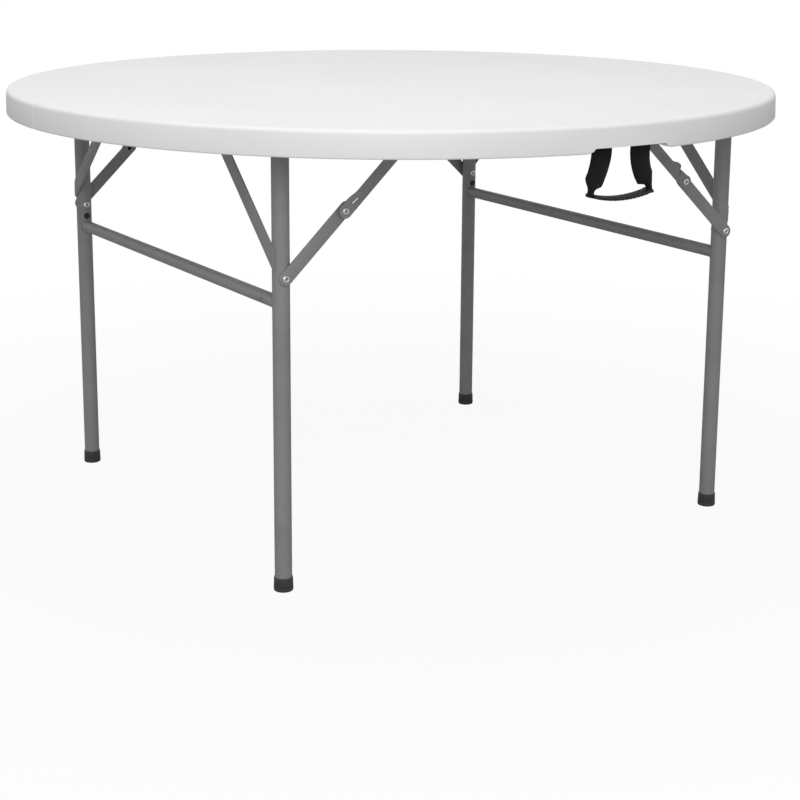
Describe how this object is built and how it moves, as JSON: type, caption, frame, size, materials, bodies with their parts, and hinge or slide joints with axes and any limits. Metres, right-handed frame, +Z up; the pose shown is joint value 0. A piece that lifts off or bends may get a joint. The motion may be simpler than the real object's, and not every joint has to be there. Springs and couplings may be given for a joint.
{
  "type": "round folding table",
  "caption": "Round white table top in two hinged halves on folding grey steel tube legs with braces and crossbars, and a carrying handle.",
  "frame": {"origin": "on the floor under the middle of the top, which is the centre of the bounding box at its bottom", "axes": "X along the centre seam of the top, Y across the seam with the handle on the -Y side, Z up"},
  "size_m": [1.22, 1.2196, 0.68],
  "materials": {
    "top_plastic": "fine pebbled moulded plastic",
    "grey_coating": "satin powder coat",
    "zinc_steel": "dull zinc plate",
    "foot_rubber": "matt",
    "black_plastic": "matt moulded",
    "webbing": "woven"
  },
  "bodies": {
    "top": {"brace_hangers": "grey_coating", "bracket_screws": "zinc_steel", "handle_plates": "zinc_steel", "handle_screws": "zinc_steel", "handle_strap_ends": "webbing", "hanger_rivets": "zinc_steel", "hanger_screws": "zinc_steel", "hinge_leaves_far": "zinc_steel", "hinge_leaves_near": "zinc_steel", "hinge_pins": "zinc_steel", "hinge_screws": "zinc_steel", "pivot_brackets_left": "grey_coating", "pivot_brackets_right": "grey_coating", "top_half_far": "top_plastic", "top_half_near": "top_plastic"},
    "legs_left": {"pivot_tube_left": "grey_coating", "crossbar_left": "grey_coating", "leg_rivets_left": "zinc_steel", "leg_plugs_left": "black_plastic", "tube_end_plugs_left": "black_plastic", "leg_far_left": "grey_coating", "corner_brace_far_left": "grey_coating", "foot_far_left": "foot_rubber", "leg_near_left": "grey_coating", "corner_brace_near_left": "grey_coating", "foot_near_left": "foot_rubber"},
    "legs_right": {"pivot_tube_right": "grey_coating", "crossbar_right": "grey_coating", "leg_rivets_right": "zinc_steel", "leg_plugs_right": "black_plastic", "tube_end_plugs_right": "black_plastic", "leg_far_right": "grey_coating", "corner_brace_far_right": "grey_coating", "foot_far_right": "foot_rubber", "leg_near_right": "grey_coating", "corner_brace_near_right": "grey_coating", "foot_near_right": "foot_rubber"},
    "handle": {"handle_grip": "webbing", "handle_strap_left": "webbing", "handle_strap_right": "webbing"},
    "upper_link_far_left": {"upper_link_far_left": "grey_coating", "knee_rivet_head_far_left": "zinc_steel"},
    "lower_link_far_left": {"lower_link_far_left": "grey_coating", "knee_rivet_far_left": "zinc_steel"},
    "upper_link_near_left": {"upper_link_near_left": "grey_coating", "knee_rivet_head_near_left": "zinc_steel"},
    "lower_link_near_left": {"lower_link_near_left": "grey_coating", "knee_rivet_near_left": "zinc_steel"},
    "upper_link_far_right": {"upper_link_far_right": "grey_coating", "knee_rivet_head_far_right": "zinc_steel"},
    "lower_link_far_right": {"lower_link_far_right": "grey_coating", "knee_rivet_far_right": "zinc_steel"},
    "upper_link_near_right": {"upper_link_near_right": "grey_coating", "knee_rivet_head_near_right": "zinc_steel"},
    "lower_link_near_right": {"lower_link_near_right": "grey_coating", "knee_rivet_near_right": "zinc_steel"}
  },
  "joints": [
    {"name": "legs_left_fold", "type": "hinge", "parent": "top", "child": "legs_left", "pos_m": [-0.384, 0, 0.641], "axis": [0, -1, 0], "range_deg": [0, 90]},
    {"name": "legs_right_fold", "type": "hinge", "parent": "top", "child": "legs_right", "pos_m": [0.384, 0, 0.641], "axis": [0, 1, 0], "range_deg": [0, 84]},
    {"name": "upper_link_far_left_turn", "type": "hinge", "parent": "top", "child": "upper_link_far_left", "pos_m": [-0.19, 0.3875, 0.641], "axis": [0, -1, 0], "range_deg": [-43.67, 0]},
    {"name": "lower_link_far_left_turn", "type": "hinge", "parent": "legs_left", "child": "lower_link_far_left", "pos_m": [-0.384, 0.3875, 0.459], "axis": [0, -1, 0], "range_deg": [0, 47.33]},
    {"name": "upper_link_near_left_turn", "type": "hinge", "parent": "top", "child": "upper_link_near_left", "pos_m": [-0.19, -0.3415, 0.641], "axis": [0, -1, 0], "range_deg": [-43.67, 0]},
    {"name": "lower_link_near_left_turn", "type": "hinge", "parent": "legs_left", "child": "lower_link_near_left", "pos_m": [-0.384, -0.3415, 0.459], "axis": [0, -1, 0], "range_deg": [0, 47.33]},
    {"name": "upper_link_far_right_turn", "type": "hinge", "parent": "top", "child": "upper_link_far_right", "pos_m": [0.19, 0.3415, 0.641], "axis": [0, 1, 0], "range_deg": [-42.41, 0]},
    {"name": "lower_link_far_right_turn", "type": "hinge", "parent": "legs_right", "child": "lower_link_far_right", "pos_m": [0.384, 0.3415, 0.459], "axis": [0, 1, 0], "range_deg": [0, 46.11]},
    {"name": "upper_link_near_right_turn", "type": "hinge", "parent": "top", "child": "upper_link_near_right", "pos_m": [0.19, -0.3875, 0.641], "axis": [0, 1, 0], "range_deg": [-42.41, 0]},
    {"name": "lower_link_near_right_turn", "type": "hinge", "parent": "legs_right", "child": "lower_link_near_right", "pos_m": [0.384, -0.3875, 0.459], "axis": [0, 1, 0], "range_deg": [0, 46.11]},
    {"name": "handle_swing", "type": "hinge", "parent": "top", "child": "handle", "pos_m": [-0.005, -0.586, 0.646], "axis": [-1, 0, 0], "range_deg": [-80, 85]}
  ],
  "couplings": [
    {"joint": "upper_link_far_left_turn", "follows": "legs_left_fold", "ratio": -0.47969},
    {"joint": "lower_link_far_left_turn", "follows": "legs_left_fold", "ratio": 0.52031},
    {"joint": "upper_link_near_left_turn", "follows": "legs_left_fold", "ratio": -0.47969},
    {"joint": "lower_link_near_left_turn", "follows": "legs_left_fold", "ratio": 0.52031},
    {"joint": "upper_link_far_right_turn", "follows": "legs_right_fold", "ratio": -0.49893},
    {"joint": "lower_link_far_right_turn", "follows": "legs_right_fold", "ratio": 0.54294},
    {"joint": "upper_link_near_right_turn", "follows": "legs_right_fold", "ratio": -0.49893},
    {"joint": "lower_link_near_right_turn", "follows": "legs_right_fold", "ratio": 0.54294}
  ]
}
